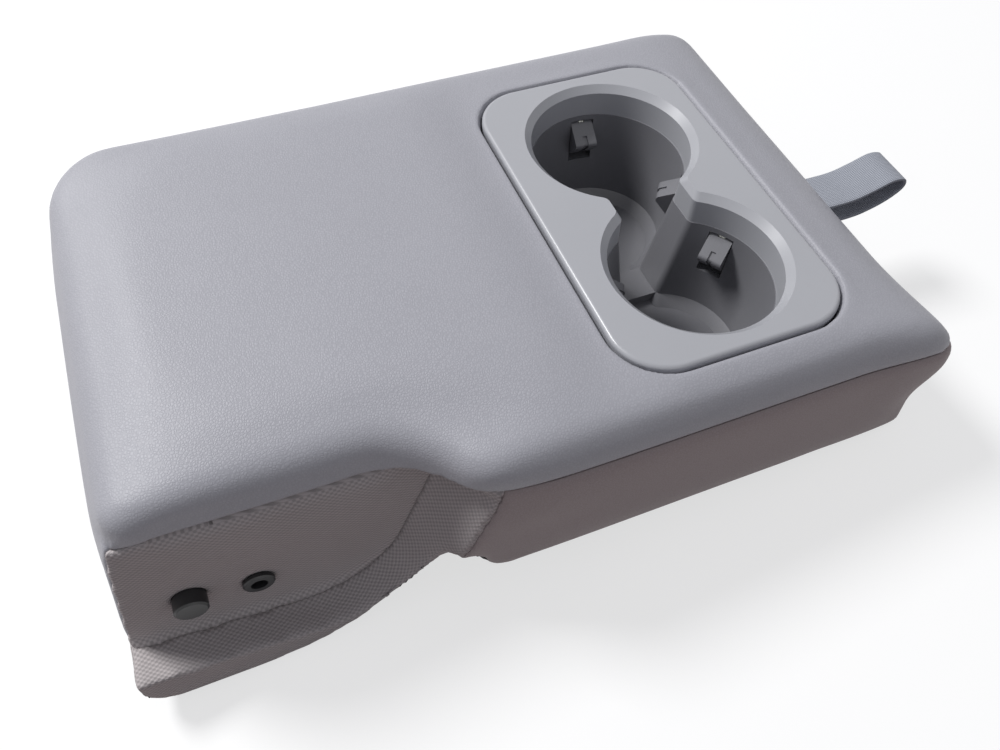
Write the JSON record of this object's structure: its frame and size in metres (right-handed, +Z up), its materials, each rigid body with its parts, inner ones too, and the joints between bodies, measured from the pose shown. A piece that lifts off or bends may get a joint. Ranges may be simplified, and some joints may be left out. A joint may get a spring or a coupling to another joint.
{
  "type": "rear seat armrest",
  "caption": "Fold-down padded rear seat armrest with a joined pair of cup holders, sprung cup tabs, a scooped side pocket for its pivot and a webbing pull loop.",
  "frame": {"origin": "on the fold axis, midway between the two cups", "axes": "+X from the fold axis to the strap end, +Y along the fold axis away from the pocketed side, +Z up through the cushion's top when it is folded down"},
  "size_m": [0.411, 0.24, 0.1206],
  "materials": {
    "leatherette": "soft grained",
    "knit_fabric": "matt knitted",
    "side_vinyl": "soft matt",
    "base_felt": "matt felt",
    "foam": "open-cell foam",
    "pale_plastic": "satin",
    "dark_plastic": "fine grained",
    "black_plastic": "satin",
    "board_plastic": "satin",
    "frame_steel": "e-coat",
    "zinc_steel": "zinc plated",
    "webbing": "woven"
  },
  "bodies": {
    "seat_fixings": {"pivot_bush_near": "black_plastic", "pivot_bush_far": "black_plastic"},
    "armrest": {"top_cover": "leatherette", "pocket_panel": "knit_fabric", "pocket_band": "knit_fabric", "front_side_cover": "side_vinyl", "far_side_cover": "side_vinyl", "bottom_cover": "base_felt", "foam_core": "foam", "frame_tube": "frame_steel", "side_plate_near": "frame_steel", "side_plate_far": "frame_steel", "pivot_shaft": "zinc_steel", "stop_bush_near": "black_plastic", "stop_bush_far": "black_plastic", "carrier_strap": "frame_steel", "base_board": "board_plastic", "bezel": "pale_plastic", "cupholder_bowl": "dark_plastic", "bezel_screws": "zinc_steel", "bowl_screws": "zinc_steel", "tab_hinge_pins": "zinc_steel", "pull_strap": "webbing", "strap_plate": "frame_steel", "strap_rivets": "zinc_steel"},
    "tab_1": {"cup_tab_1": "dark_plastic", "tab_spring_1": "zinc_steel"},
    "tab_2": {"cup_tab_2": "dark_plastic", "tab_spring_2": "zinc_steel"},
    "tab_3": {"cup_tab_3": "dark_plastic", "tab_spring_3": "zinc_steel"},
    "tab_4": {"cup_tab_4": "dark_plastic", "tab_spring_4": "zinc_steel"},
    "tab_5": {"cup_tab_5": "dark_plastic", "tab_spring_5": "zinc_steel"},
    "tab_6": {"cup_tab_6": "dark_plastic", "tab_spring_6": "zinc_steel"}
  },
  "joints": [
    {"name": "armrest_fold", "type": "hinge", "parent": "seat_fixings", "child": "armrest", "pos_m": [0, 0, 0], "axis": [0, -1, 0], "range_deg": [0, 105]},
    {"name": "tab_push_1", "type": "hinge", "parent": "armrest", "child": "tab_1", "pos_m": [0.24459, 0.08148, 0.0496], "axis": [0.9945, -0.1045, 0], "range_deg": [0, 36]},
    {"name": "tab_push_2", "type": "hinge", "parent": "armrest", "child": "tab_2", "pos_m": [0.27284, 0.01803, 0.0496], "axis": [-0.5878, -0.809, 0], "range_deg": [0, 36]},
    {"name": "tab_push_3", "type": "hinge", "parent": "armrest", "child": "tab_3", "pos_m": [0.20377, 0.02529, 0.0496], "axis": [-0.4067, 0.9135, 0], "range_deg": [0, 36]},
    {"name": "tab_push_4", "type": "hinge", "parent": "armrest", "child": "tab_4", "pos_m": [0.24459, -0.08148, 0.0496], "axis": [-0.9945, -0.1045, 0], "range_deg": [0, 36]},
    {"name": "tab_push_5", "type": "hinge", "parent": "armrest", "child": "tab_5", "pos_m": [0.27284, -0.01803, 0.0496], "axis": [0.5878, -0.809, 0], "range_deg": [0, 36]},
    {"name": "tab_push_6", "type": "hinge", "parent": "armrest", "child": "tab_6", "pos_m": [0.20377, -0.02529, 0.0496], "axis": [0.4067, 0.9135, 0], "range_deg": [0, 36]}
  ]
}
